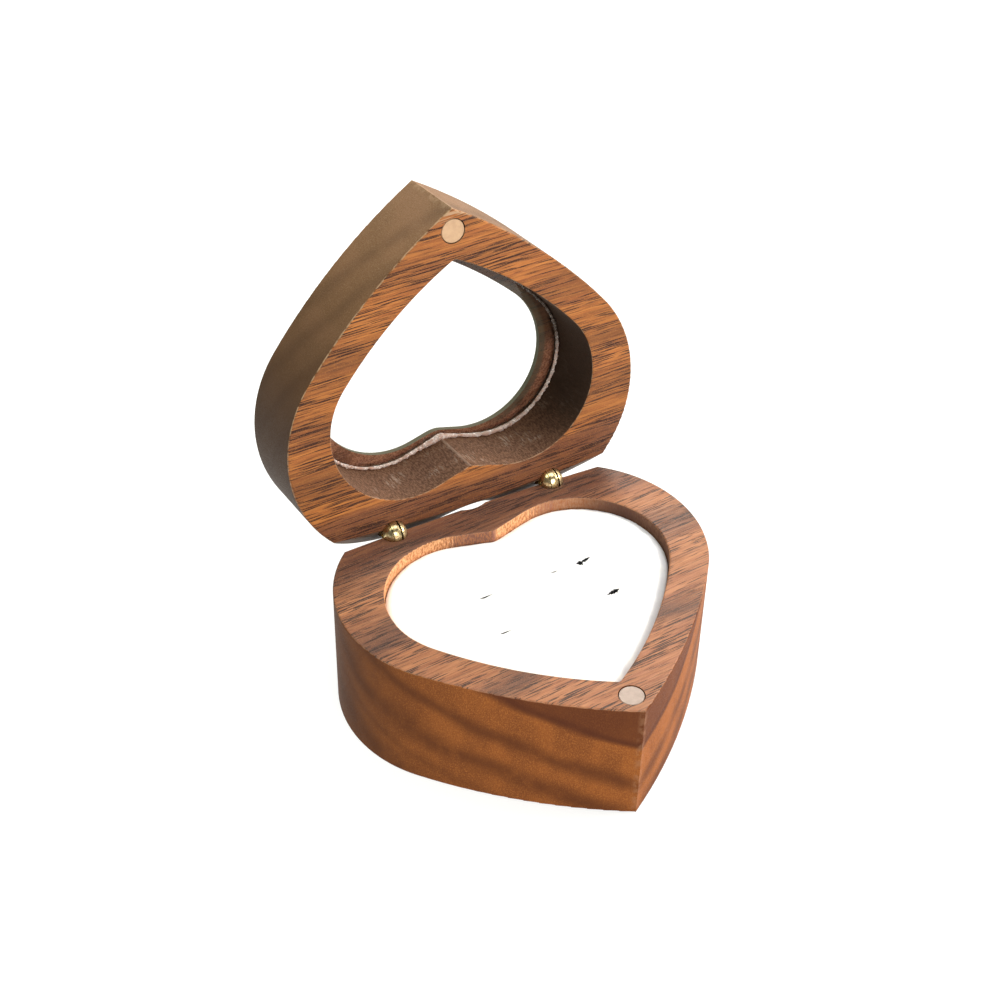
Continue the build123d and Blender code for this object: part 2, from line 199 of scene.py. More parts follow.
def walnut(name, place, normal_turn, look):
    """Walnut with its grain along X: growth lines, open vessels on the faces, speckle on the walls.

    place is a function that gives the wood's own coordinates, and normal_turn the angle that brings
    normals into them. look holds the growth lines and the colours of this block.
    """
    g = Graph(name)
    p = place(g)
    x, y, z = g.split(p)

    # The grain runs slightly askew and wanders slowly.
    wander = g.noise(g.scaled(p, (0.022, 0.06, 0.06)), 1.0, 2.0, out="Color")
    _, wander_y, wander_z = g.split(g.vector_math("SUBTRACT", wander, (0.5, 0.5, 0.5)))
    straight_y = g.math("SUBTRACT", y, g.math("MULTIPLY", x, look["tilt"]))
    gy = g.math("ADD", straight_y, g.math("MULTIPLY", wander_y, look["wander"]))
    gz = g.math("ADD", z, g.math("MULTIPLY", wander_z, look["wander"]))

    # Growth lines, each a sheet that slopes down towards the heart's point.
    slope_y, slope_z = look["slope"]
    sheet = g.math("ADD", g.math("MULTIPLY", gy, slope_y), g.math("MULTIPLY", gz, slope_z))
    ripple = g.noise(g.scaled(p, (0.03, 0.07, 0.07)), 1.0, 1.0)
    sheet = g.math("ADD", sheet, g.fade(ripple, 0.2, 0.8, -1.2, 1.2))
    growth = 0.0
    for centre, half_width, depth in look["growth"]:
        growth = g.math("MAXIMUM", growth, band(g, sheet, centre, half_width, depth))
    patchy = long_noise(g, x, gy, gz, 50.0, 3.3, 2.0, 0.5)
    growth = g.math("MULTIPLY", growth, g.fade(patchy, 0.25, 0.55, 0.55, 1.0))

    # Heartwood streaks, bundles of fibres and single fibres.
    streaks = long_noise(g, x, gy, gz, 60.0, 2.6, 3.0, 0.6)
    bundles = long_noise(g, x, gy, gz, 16.0, 0.75, 3.0, 0.6)
    fibres = long_noise(g, x, gy, gz, 5.0, 0.22, 2.0, 0.6)
    grit = g.noise(p, 4.5, 2.0, 0.7)
    speckle = g.noise(g.scaled(p, (4.4, 4.4, 3.0)), 1.0, 3.0, 0.75)
    glow = g.noise(g.scaled(p, (0.16, 0.16, 0.10)), 1.0, 2.0, 0.5)
    region = g.noise(g.scaled(p, (0.02, 0.07, 0.05)), 1.0, 2.0, 0.5)

    # How far a surface is one of the two sawn faces or an upright wall.
    normal = add_node(g.tree, "TexCoord").outputs["Normal"]
    turned = add_node(
        g.tree, "VectorRotate", {"Vector": normal, "Angle": normal_turn}, rotation_type="X_AXIS"
    ).outputs[0]
    nx, ny, nz = g.split(turned)
    face = g.fade(g.math("ABSOLUTE", nz), 0.45, 0.75)
    wall = g.math("SUBTRACT", 1.0, face)

    # Vessels: crowded in some bands and few in others.
    crowd = g.fade(long_noise(g, x, gy, gz, 40.0, 3.0, 2.0, 0.5, 15.0), 0.34, 0.60)
    stretch = look["vessel_length"]
    lines = g.fade(long_noise(g, x, gy, gz, 9.0 * stretch, 0.36, 2.0, 0.6, 31.0), 0.565, 0.60)
    lines = g.math("MULTIPLY", lines, g.math("ADD", 0.35, g.math("MULTIPLY", crowd, 0.65)))
    low, high = look["reach"]
    reach = g.math("ADD", low, g.math("MULTIPLY", crowd, high - low))
    first = dashes(g, x, gy, 0.46, 9.0 * stretch, reach)
    second = dashes(g, g.math("ADD", x, 41.0), g.math("ADD", gy, 17.3), 0.52, 13.0 * stretch, reach)
    third = dashes(g, g.math("ADD", x, 7.0), g.math("ADD", gy, 5.1), 0.38, 6.0 * stretch, reach)
    vessels = g.math("MAXIMUM", g.math("MAXIMUM", first, second), g.math("MAXIMUM", third, lines))

    # Colour of the faces.
    tone = g.mix(g.fade(region, 0.36, 0.64), look["warm"], look["red"])
    sawn = g.mix(g.fade(bundles, 0.36, 0.66, 0.0, look["bundle"]), tone, look["light"])
    heartwood = g.math("ADD", gy, g.fade(region, 0.3, 0.7, -2.5, 2.5))
    sawn = g.mix(g.fade(heartwood, 14.5, 17.5, 0.0, look["heartwood"]), sawn, look["heartwood_colour"])
    sawn = g.mix(g.fade(streaks, 0.46, 0.70, 0.0, look["streak"]), sawn, look["dark"])
    sawn = g.mix(g.fade(fibres, 0.35, 0.68, 0.0, look["fibre"]), sawn, look["dark"])
    sawn = g.mix(growth, sawn, look["growth_colour"])
    sawn = g.mix(g.math("MULTIPLY", vessels, look["vessel_depth"]), sawn, look["pore"])
    sawn = g.mix(g.fade(grit, 0.52, 0.75, 0.0, 0.35), sawn, look["light"])

    # Colour of the walls.
    rubbed = g.mix(g.fade(glow, 0.35, 0.65), look["wall"], look["wall_glow"])
    rubbed = g.mix(g.fade(speckle, 0.45, 0.70, 0.0, look["speckle"]), rubbed, look["wall_light"])
    rubbed = g.mix(g.math("MULTIPLY", growth, look["wall_growth"]), rubbed, look["wall_dark"])
    cap = g.fade(sheet, look["cap"] - 1.2, look["cap"] + 1.0, 0.0, look["cap_depth"])
    rubbed = g.mix(cap, rubbed, look["cap_colour"])
    # Painted shade: the walls darken towards +y, standing in for the fall of the light.
    shade = g.fade(y, look["shade_from"], look["shade_to"], 0.0, look["shade"])
    rubbed = g.mix(shade, rubbed, look["shade_colour"])
    rubbed = g.mix(g.fade(grit, 0.5, 0.3, 0.0, 0.4), rubbed, look["wall_dark"])
    ground = g.mix(face, rubbed, sawn)

    # Sanded arrises are paler.
    off_face = g.math("ABSOLUTE", g.math("SUBTRACT", z, look["face_z"]))
    upright = g.math("SUBTRACT", 1.0, g.math("ABSOLUTE", nz))
    arris = g.math("MULTIPLY", g.fade(off_face, 0.32, 0.1), g.fade(upright, 0.05, 0.4))
    ragged = g.fade(g.noise(g.scaled(p, (0.8, 0.8, 0.8)), 1.0, 3.0), 0.38, 0.6)
    arris_worn = g.math("MULTIPLY", g.math("MULTIPLY", arris, ragged), look["edge_wear"])
    ground = g.mix(arris_worn, ground, look["edge"])

    point = g.math("MULTIPLY", g.fade(y, POINT_Y + 0.75, POINT_Y + 0.2), wall)
    point_worn = g.math("MULTIPLY", g.math("MULTIPLY", point, ragged), look["point_wear"])
    ground = g.mix(point_worn, ground, look["edge"])
    chipped = g.math("MULTIPLY", g.fade(y, POINT_Y + 3.4, POINT_Y + 1.2), g.fade(fibres, 0.42, 0.56))
    chips = g.math("MULTIPLY", g.math("MULTIPLY", chipped, face), look["chip"])
    ground = g.mix(chips, ground, look["edge"])

    # The routed walls inside a pocket: fuzzy, scuffed, torn near the cleft, with painted shade on the walls
    # that face -x and on the base's right lobe.
    outward = g.math("ADD", g.math("MULTIPLY", nx, x), g.math("MULTIPLY", ny, g.math("ADD", y, 5.0)))
    inner = g.math("MULTIPLY", wall, g.fade(outward, 1.0, -3.0))
    fuzz = g.noise(g.scaled(p, (3.2, 3.2, 1.1)), 1.0, 3.0, 0.75)
    threads = g.noise(g.scaled(p, (2.6, 1.1, 0.30)), 1.0, 4.0, 0.8)
    scuffs = g.math("MULTIPLY", g.fade(g.noise(p, 0.13, 2.0, 0.5), 0.52, 0.68), g.fade(threads, 0.50, 0.60))
    routed = g.mix(g.fade(fuzz, 0.35, 0.68), look["routed_dark"], look["routed_light"])
    routed = g.mix(g.math("MULTIPLY", scuffs, look["scuff"]), routed, look["scuff_colour"])
    strayed = g.math("ADD", x, g.fade(threads, 0.3, 0.7, -2.5, 2.5))
    left_of_cleft = g.math("MULTIPLY", g.fade(x, 0.9, 0.1), g.fade(strayed, -9.0, -7.0))
    # Painted shade on the base's right lobe, carried by the same mask as the tear-out left of the cleft.
    right_lobe_shade = g.fade(strayed, 8.0, 12.0, 0.0, 0.6)
    torn_and_shade = g.math("MULTIPLY", g.math("MAXIMUM", left_of_cleft, right_lobe_shade), g.fade(y, 4.0, 9.0))
    torn_and_shade = g.math("MULTIPLY", torn_and_shade, g.fade(fuzz, 0.42, 0.54, 0.25, 1.0))
    routed = g.mix(g.math("MULTIPLY", torn_and_shade, look["torn_and_shade"]), routed, look["torn_and_shade_colour"])
    # Painted shade: the routed walls that face -x are darkened.
    routed = g.mix(g.fade(nx, -0.30, -0.88, 0.0, look["left_facing_shade"]), routed, look["dark_side_colour"])
    crease = g.math("MULTIPLY", g.fade(g.math("ABSOLUTE", x), 0.50, 0.12), g.fade(y, 8.0, 11.0))
    routed = g.mix(g.math("MULTIPLY", crease, look["crease"]), routed, look["scuff_colour"])
    ground = g.mix(g.math("MULTIPLY", inner, look["routed"]), ground, routed)

    # Painted shade in the V that the two bevels make at the back.
    groove_shade = g.math("MULTIPLY", g.fade(ny, 0.35, 0.60), g.fade(g.math("ABSOLUTE", nz), 0.35, 0.55))
    groove_shade = g.math("MULTIPLY", groove_shade, g.fade(g.math("ABSOLUTE", nz), 0.93, 0.80))
    groove_shade = g.math("MULTIPLY", groove_shade, g.fade(y, 21.0, 22.5))
    ground = g.mix(g.math("MULTIPLY", groove_shade, 0.85), ground, look["groove_shade_colour"])

    # The ledge that carries the pane is raw from the cutter and darker towards the point; on its right
    # side, around the window's right lobe, it carries a painted shadow.
    off_ledge = g.math("ABSOLUTE", g.math("SUBTRACT", z, look["ledge_z"]))
    ledge = g.math("MULTIPLY", face, g.fade(off_ledge, 0.4, 0.2))
    raw = g.mix(g.fade(fuzz, 0.35, 0.65), look["raw_dark"], look["raw_light"])
    raw = g.mix(g.fade(y, 4.0, -3.0, 0.0, 0.9), raw, look["dark_side_colour"])
    from_lobe = g.vector_math("SUBTRACT", p, g.join(*WINDOW_LOBE, z))
    from_lobe = g.vector_math("LENGTH", from_lobe, out=1)
    # Painted shadow on the ledge's right side, around the window's right lobe.
    ledge_shadow = g.fade(from_lobe, SHADOW_RADIUS + SHADOW_EDGE, SHADOW_RADIUS)
    ledge_shadow = g.math("MULTIPLY", ledge_shadow, g.fade(x, 10.0, 20.0))
    raw = g.mix(g.math("MULTIPLY", ledge_shadow, 0.85), raw, LEDGE_SHADOW_COLOUR)
    ground = g.mix(g.math("MULTIPLY", ledge, 0.85), ground, raw)
    beyond = g.math("MULTIPLY", inner, g.fade(z, look["ledge_z"] - 0.1, look["ledge_z"] + 0.1))
    ground = g.mix(g.math("MULTIPLY", beyond, look["beyond"]), ground, BEYOND_COLOUR)

    # Relief: open vessels, fibres, and the routed walls' fuzz.
    sunk = g.math("MULTIPLY", g.math("MULTIPLY", vessels, face), -1.0)
    relief = g.math("ADD", sunk, g.math("MULTIPLY", fibres, 0.35))
    relief = g.math("ADD", relief, g.math("MULTIPLY", g.math("MULTIPLY", speckle, wall), 0.6))
    relief = g.math("ADD", relief, g.math("MULTIPLY", g.math("MULTIPLY", fuzz, inner), 2.0))
    face_gloss = g.math("MULTIPLY", face, look["gloss"])
    gloss = g.math("ADD", face_gloss, g.math("MULTIPLY", wall, look["wall_gloss"]))
    g.principled(
        Base_Color=ground,
        Roughness=g.math("ADD", g.fade(fibres, 0.3, 0.7, 0.46, 0.60), g.math("MULTIPLY", inner, 0.25)),
        Normal=g.bump(relief, 0.00006, 0.7),
        Specular_IOR_Level=gloss,
    )
    return g.material


LEDGE_SHADOW_COLOUR = (0.080, 0.072, 0.050)
BEYOND_COLOUR = (0.125, 0.120, 0.085)
BASE_LOOK = dict(
    vessel_length=1.0, crease=0.35, groove_shade_colour=(0.150, 0.078, 0.038),
    tilt=0.064, wander=0.8, slope=(-0.43, 0.90), gloss=0.40, wall_gloss=0.035,
    growth=(
        (34.4, 1.7, 0.80), (25.0, 3.2, 0.75), (16.6, 4.2, 0.75), (3.0, 4.5, 0.7), (9.5, 2.0, 0.3),
    ),
    growth_colour=(0.060, 0.022, 0.014), wall_growth=0.95,
    cap=33.6, cap_depth=0.72, cap_colour=(0.082, 0.024, 0.012),
    shade_from=-27.0, shade_to=10.0, shade=0.82, shade_colour=(0.076, 0.029, 0.0115),
    heartwood=0.35, heartwood_colour=(0.17, 0.072, 0.048),
    reach=(0.14, 0.31), vessel_depth=0.95,
    warm=(0.285, 0.100, 0.036), red=(0.235, 0.078, 0.034), light=(0.46, 0.195, 0.078),
    dark=(0.080, 0.026, 0.014), pore=(0.022, 0.008, 0.006), fibre=0.3, bundle=0.5, streak=0.28,
    wall=(0.200, 0.062, 0.0175), wall_glow=(0.270, 0.085, 0.0215), wall_light=(0.46, 0.165, 0.040),
    wall_dark=(0.082, 0.025, 0.010), speckle=0.65,
    face_z=27.5, edge=(0.34, 0.17, 0.09), edge_wear=0.5, point_wear=0.35, chip=0.25,
    routed=0.9, routed_dark=(0.42, 0.165, 0.072), routed_light=(0.95, 0.52, 0.26),
    scuff=0.5, scuff_colour=(0.42, 0.19, 0.16),
    torn_and_shade=0.9, torn_and_shade_colour=(0.165, 0.074, 0.066), left_facing_shade=0.85, dark_side_colour=(0.085, 0.045, 0.040),
    ledge_z=-9.0, raw_dark=(0.2, 0.07, 0.04), raw_light=(0.4, 0.16, 0.08), beyond=0.0,
)
LID_LOOK = dict(
    vessel_length=1.5, crease=0.22, groove_shade_colour=(0.130, 0.066, 0.030),
    tilt=-0.02, wander=1.2, slope=(-0.62, 0.78), gloss=0.22, wall_gloss=0.07,
    growth=(
        (8.0, 4.5, 0.45), (17.5, 4.5, 0.55), (25.0, 2.6, 0.5),
        (33.0, 3.0, 0.5), (41.0, 3.0, 0.4), (48.0, 3.0, 0.4),
    ),
    growth_colour=(0.085, 0.030, 0.013), wall_growth=0.75,
    cap=90.0, cap_depth=0.0, cap_colour=(0.05, 0.02, 0.01),
    shade_from=-40.0, shade_to=0.0, shade=0.93, shade_colour=(0.042, 0.0180, 0.0065),
    heartwood=0.75, heartwood_colour=(0.120, 0.045, 0.027),
    reach=(0.14, 0.33), vessel_depth=0.95,
    warm=(0.340, 0.112, 0.025), red=(0.295, 0.092, 0.025), light=(0.54, 0.205, 0.045),
    dark=(0.095, 0.032, 0.012), pore=(0.024, 0.008, 0.005), fibre=0.42, bundle=0.6, streak=0.32,
    # The lid's wall colours are greyer and more olive than the base's: partly the wood, partly painted
    # sheen.
    wall=(0.171, 0.089, 0.042), wall_glow=(0.200, 0.103, 0.051), wall_light=(0.27, 0.155, 0.085),
    wall_dark=(0.055, 0.028, 0.014), speckle=0.7,
    face_z=27.7, edge=(0.45, 0.30, 0.18), edge_wear=0.8, point_wear=0.25, chip=0.7,
    routed=0.92, routed_dark=(0.076, 0.037, 0.022), routed_light=(0.205, 0.106, 0.064),
    scuff=0.5, scuff_colour=(0.44, 0.33, 0.26),
    torn_and_shade=0.0, torn_and_shade_colour=(0.30, 0.16, 0.15), left_facing_shade=0.92, dark_side_colour=(0.028, 0.017, 0.011),
    ledge_z=43.05, raw_dark=(0.13, 0.046, 0.028), raw_light=(0.40, 0.185, 0.110), beyond=0.85,
)


# ================================================================================== metals
def brass():
    """Antiqued brass: bright where it is rubbed, brown where dirt stays."""
    g = Graph("antique_brass")
    p = object_mm(g)
    blotches = g.noise(p, 1.1, 4.0, 0.65)
    scratches = g.noise(g.scaled(p, (9.0, 2.0, 2.0)), 1.0, 3.0, 0.7)
    facets = g.voronoi(p, 0.75, 0.9, "SMOOTH_F1")
    dirt = g.noise(p, 2.6, 3.0, 0.7)
    colour = g.mix(g.fade(blotches, 0.42, 0.68), (0.76, 0.61, 0.34), (0.46, 0.33, 0.15))
    colour = g.mix(g.fade(dirt, 0.55, 0.72, 0.0, 0.85), colour, (0.12, 0.075, 0.03))
    g.principled(
        Base_Color=colour,
        Metallic=1.0,
        Roughness=g.fade(blotches, 0.3, 0.7, 0.14, 0.36),
        Normal=g.bump(scratches, 0.00002, 0.35, g.bump(facets, 0.00022, 0.6)),
    )
    return g.material


def nickel(name, colour, stain, metallic):
    """Plated magnet face with fine scratches and a faint bloom."""
    g = Graph(name)
    p = object_mm(g)
    bloom = g.noise(p, 0.7, 3.0, 0.6)
    scratches = g.noise(g.scaled(p, (7.0, 1.2, 1.2)), 1.0, 4.0, 0.7)
    g.principled(
        Base_Color=g.mix(g.fade(bloom, 0.35, 0.7), colour, stain),
        Metallic=metallic,
        Roughness=g.fade(scratches, 0.3, 0.7, 0.36, 0.50),
        Normal=g.bump(scratches, 0.00001, 0.3),
    )
    return g.material


# ================================================================================== window
def acrylic():
    """Clear polished sheet: what lies behind shows through, with a gloss that grows at a slant."""
    g = Graph("clear_acrylic")
    p = object_mm(g)
    hairlines = g.noise(g.scaled(p, (0.3, 4.0, 2.5)), 1.0, 4.0, 0.75)
    clear = add_node(g.tree, "BsdfTransparent", {"Color": (0.985, 0.99, 0.985, 1.0)})
    gloss = add_node(g.tree, "BsdfGlossy", {
        "Roughness": g.fade(hairlines, 0.55, 0.8, 0.02, 0.12),
        "Normal": g.bump(hairlines, 0.000004, 0.15),
    })
    slant = add_node(g.tree, "Fresnel", {"IOR": 1.45}).outputs[0]
    leaving = add_node(g.tree, "NewGeometry").outputs["Backfacing"]
    mirrored = g.math("MULTIPLY", slant, g.math("SUBTRACT", 1.0, leaving))
    both = add_node(g.tree, "MixShader", {0: mirrored, 1: clear.outputs[0], 2: gloss.outputs[0]})
    g.tree.links.new(both.outputs[0], g.output.inputs[0])
    return g.material


def glue():
    """Clear glue, milky in places, with a beaded surface and painted shade towards the point."""
    g = Graph("clear_glue")
    p = object_mm(g)
    beads = g.voronoi(p, 1.25)
    milk = g.noise(p, 0.9, 3.0, 0.7)
    clean = g.mix(g.fade(milk, 0.35, 0.65), (0.78, 0.52, 0.42), (0.96, 0.86, 0.80))
    # Darker towards the point: painted shade on the bead.
    towards_point = g.split(closed_lid_mm(g))[1]
    g.principled(
        Base_Color=g.mix(g.fade(towards_point, 5.0, -4.0, 0.0, 0.93), clean, (0.10, 0.075, 0.055)),
        Roughness=g.fade(milk, 0.3, 0.7, 0.12, 0.3),
        Transmission_Weight=0.5,
        IOR=1.47,
        Normal=g.bump(beads, 0.0003, 0.8),
    )
    return g.material


# ================================================================================== cushion
def velvet():
    """White short-pile velvet: brushed patches, a sheen at the edges, painted shade on the rim that faces
    +x, fine fibres.
    """
    g = Graph("white_velvet")
    p = object_mm(g)
    brushed = g.noise(g.scaled(p, (0.10, 0.16, 0.16)), 1.0, 3.0, 0.6)
    pile = g.noise(p, 7.0, 3.0, 0.7)
    tone = g.mix(g.fade(brushed, 0.35, 0.65), (0.89, 0.870, 0.865), (0.94, 0.925, 0.92))
    # Painted shade: the rolled rim that faces +x is tinted lavender-grey.
    slope = g.split(add_node(g.tree, "TexCoord").outputs["Normal"])[0]
    tone = g.mix(g.fade(slope, 0.02, 0.40, 0.0, 0.8), tone, (0.575, 0.575, 0.665))
    tone = g.mix(g.fade(pile, 0.3, 0.7, 0.0, 0.35), tone, (0.82, 0.79, 0.79))
    g.principled(
        Base_Color=tone,
        Roughness=g.fade(pile, 0.3, 0.7, 0.8, 0.95),
        Sheen_Weight=0.5,
        Sheen_Roughness=0.4,
        Sheen_Tint=(1.0, 0.98, 0.98),
        Normal=g.bump(pile, 0.0001, 0.5),
    )
    return g.material


def shaded_slit_foam():
    """Near-black foam that shows only inside the ring slits: partly the foam's grey, partly painted shade
    in the deep cuts.
    """
    g = Graph("shaded_slit_foam")
    p = object_mm(g)
    cells = g.voronoi(p, 2.5)
    g.principled(
        Base_Color=g.mix(g.fade(cells, 0.1, 0.6), (0.02, 0.02, 0.022), (0.06, 0.06, 0.065)),
        Roughness=0.95,
        Normal=g.bump(cells, 0.0002, 0.7),
    )
    return g.material


def card():
    """Grey board under the foam."""
    g = Graph("grey_card")
    p = object_mm(g)
    fleck = g.noise(p, 3.0, 3.0, 0.7)
    g.principled(
        Base_Color=g.mix(g.fade(fleck, 0.35, 0.7), (0.33, 0.31, 0.28), (0.24, 0.22, 0.20)),
        Roughness=0.9,
        Normal=g.bump(fleck, 0.00004, 0.4),
    )
    return g.material


# ================================================================================== outlines
def arc_points(centre, radius, start, end, step):
    """Points from one angle to another, start included and end left out, about step apart."""
    count = max(2, round(abs(end - start) * radius / step))
    angles = (start + (end - start) * i / count for i in range(count))
    return [Vector((centre.x + radius * math.cos(a), centre.y + radius * math.sin(a))) for a in angles]


def heart_outline(heart, inset, step):
    """Closed outline of a heart moved inwards by inset, anticlockwise from the point (mm)."""
    tip, side, lobe_r = heart["tip"], heart["side_radius"], heart["lobe_radius"]
    lobe = Vector((heart["lobe_x"], heart["lobe_y"]))
    point = Vector((0.0, -tip))
    span = (lobe - point).length
    along = (side ** 2 + span ** 2 - (side - lobe_r) ** 2) / (2 * span)
    forward = (lobe - point).normalized()
    centre = point + forward * along + Vector((-forward.y, forward.x)) * math.sqrt(side ** 2 - along ** 2)
    cleft = Vector((0.0, heart["cleft_y"]))
    to_lobe = lobe - cleft
    rise = math.atan2(to_lobe.y, to_lobe.x) + math.asin(lobe_r / to_lobe.length)
    cleft.y -= inset / math.cos(rise)
    side -= inset
    lobe_r -= inset
    start = -math.acos(-centre.x / side)
    turn = math.atan2((lobe - centre).y, (lobe - centre).x)
    right = arc_points(centre, side, start, turn, step)
    right += arc_points(lobe, lobe_r, turn, rise + math.pi / 2, step)
    arm_end = lobe + Vector((-math.sin(rise), math.cos(rise))) * lobe_r
    count = max(2, round((cleft - arm_end).length / step))
    right += [arm_end.lerp(cleft, i / count) for i in range(count)]
    left = [Vector((-v.x, v.y)) for v in reversed(right[1:])]
    return right + [cleft] + left


def mesh_object(name, vertices, faces, materials, smooth=True):
    """Mesh object in the row's frame."""
    mesh = bpy.data.meshes.new(name)
    mesh.from_pydata([tuple(v) for v in vertices], [], faces)
    mesh.validate()
    for material in materials:
        mesh.materials.append(material)
    for face in mesh.polygons:
        face.use_smooth = smooth
    piece = bpy.data.objects.new(name, mesh)
    bpy.context.scene.collection.objects.link(piece)
    return piece


def lid_point(x, y, depth):
    """Row-frame place of a point in the shut lid's outline, at a depth behind its mating face (mm)."""
    back = Vector((0.0, math.cos(OPEN), -math.sin(OPEN)))
    up = Vector((0.0, math.sin(OPEN), math.cos(OPEN)))
    local = Vector((x * MM, 0.0, 0.0)) + back * (y * MM - PIVOT.y) + up * ((depth + MATING_GAP / 2) * MM)
    return Vector((local.x, local.y + PIVOT.y, local.z + PIVOT.z))


# ================================================================================== glue bead
BEAD_INSET = 0.45
BEAD_RADIUS = 0.34
BEAD_SIDES = 10
BEAD_STEP = 0.22


def make_bead(material):
    """Lumpy rope of clear glue in the corner between the pane and the pocket's wall."""
    path = heart_outline(LID_POCKET, BEAD_INSET, BEAD_STEP)
    count = len(path)
    vertices = []
    for i, point in enumerate(path):
        ahead = (path[(i + 1) % count] - path[i - 1]).normalized()
        across = Vector((ahead.y, -ahead.x))
        lump = noise.noise(Vector((point.x * 1.3, point.y * 1.3, 2.0)))
        fine = noise.noise(Vector((point.x * 3.1, point.y * 3.1, 7.0)))
        blob = 1.1 * math.exp(-((point.x + 1.2) / 3.2) ** 2) if point.y > 0.0 else 0.0
        blob += 0.45 * math.exp(-((point.x - 15.0) / 8.0) ** 2) if point.y > -8.0 else 0.0
        radius = BEAD_RADIUS * (1.0 + 0.45 * lump + 0.35 * fine + blob)
        shift = 0.08 * noise.noise(Vector((point.x * 0.8, point.y * 0.8, 11.0)))
        for side in range(BEAD_SIDES):
            angle = 2 * math.pi * side / BEAD_SIDES
            flat = point + across * (radius * math.cos(angle) + shift)
            depth = PANE_FACE - 0.02 - radius * (1.0 + math.sin(angle))
            vertices.append(lid_point(flat.x, flat.y, depth))
    faces = []
    for i in range(count):
        j = (i + 1) % count
        for side in range(BEAD_SIDES):
            k = (side + 1) % BEAD_SIDES
            here, there = i * BEAD_SIDES, j * BEAD_SIDES
            faces.append((here + side, here + k, there + k, there + side))
    bead = mesh_object("glue_rope", vertices, faces, [material])
    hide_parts("window_glue_bead")
    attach(bead, "lid")
    return bead


# ================================================================================== cushion
# Millimetres, apart from shares of a slit's length and of SLIT_GAPE.
CUSHION_INSET = 0.13        # between the cover and the pocket's wall
CUSHION_STEP = 1.1
CUSHION_SHOULDER = 1.5      # how far down the edge rolls
# Each slit's two ends, and how far its lips stand apart along the plain part.
SLITS = (((-11.6, 1.15), (15.4, 1.15), 0.20), ((-12.6, -9.5), (16.4, -9.5), 0.09))
MOUTH_OPEN = 0.80           # the gape near the right end
MOUTH_AT = 0.875            # where along the slit it gapes widest
MOUTH_SHARP = 0.026         # how fast the gape closes towards the left
MOUTH_TAIL = 0.050          # and towards the right
CORNER_OPEN = 0.10          # a low, wide swelling right of the gape
CORNER_AT = 0.92
CORNER_REACH = 0.06
NIP_OPEN = 0.26             # the smaller opening at the left end
NIP_AT = 0.065
NIP_REACH = 0.06
SLIT_DEPTH = 9.0
SLIT_GAPE = 1.5             # scale of both openings
SLIT_STEPS = 54
SLIT_PLAIN_STEPS = 24       # steps along the plain part, the rest shape the opening
SLIT_PLAIN = 0.78           # where the plain part ends
PUFF_CAP = 0.5              # the most that the pressed foam lifts the cover
ROLL = 0.60                 # how far the edge drops below the middle
SIM_SCALE = 10.0
SIM_FRAMES = 20
SIM_SEED = 5


def slit_place(i):
    """How far along the slit step i lies: close steps where the lips gape."""
    if i <= SLIT_PLAIN_STEPS:
        return SLIT_PLAIN * i / SLIT_PLAIN_STEPS
    return SLIT_PLAIN + (1.0 - SLIT_PLAIN) * (i - SLIT_PLAIN_STEPS) / (SLIT_STEPS - SLIT_PLAIN_STEPS)


def slit_outline(start, end, parted):
    """Closed outline of one slit: lips that gape near the right end and nip at the left (mm).

    parted is how far the lips stand apart along the plain part.
    """
    start, end = Vector(start), Vector(end)
    upper, lower = [], []
    for i in range(1, SLIT_STEPS):
        t = slit_place(i)
        middle = start.lerp(end, t)
        middle.y += 0.25 * noise.noise(Vector((middle.x * 0.30, middle.y, 3.0)))
        middle.y += 0.55 * max(0.0, (t - 0.86) / 0.14) - 0.30 * max(0.0, 0.10 - t) / 0.10
        reach = MOUTH_SHARP if t < MOUTH_AT else MOUTH_TAIL
        mouth = MOUTH_OPEN * math.exp(-((t - MOUTH_AT) / reach) ** 2)
        mouth += CORNER_OPEN * math.exp(-((t - CORNER_AT) / CORNER_REACH) ** 2)
        nip = NIP_OPEN * math.exp(-((t - NIP_AT) / NIP_REACH) ** 2)
        ragged = max(0.3, 1.0 + 1.5 * noise.noise(Vector((middle.x * 2.9, middle.y * 2.9, 9.0))))
        crease = parted * (0.6 + 5.0 * max(0.0, noise.noise(Vector((middle.x * 0.9, middle.y, 5.0)))))
        closing = min(1.0, (1.0 - t) / 0.03, t / 0.02)
        half = max(0.025, (crease + SLIT_GAPE * (mouth + nip) * ragged) * closing / 2)
        upper.append(middle + Vector((0.0, half * 0.75)))
        lower.append(middle - Vector((0.0, half * 1.25)))
    return [start] + lower + [end] + list(reversed(upper))


def inside(point, outline):
    """Even-odd test."""
    odd = False
    for i, a in enumerate(outline):
        b = outline[i - 1]
        if (a.y > point.y) != (b.y > point.y):
            if point.x < (b.x - a.x) * (point.y - a.y) / (b.y - a.y) + a.x:
                odd = not odd
    return odd


def distance_to(point, outline):
    """Shortest distance from a point to an outline."""
    best = 1e9
    for i, a in enumerate(outline):
        b = outline[i - 1]
        edge = b - a
        t = max(0.0, min(1.0, (point - a).dot(edge) / max(edge.length_squared, 1e-12)))
        best = min(best, (a + edge * t - point).length)
    return best


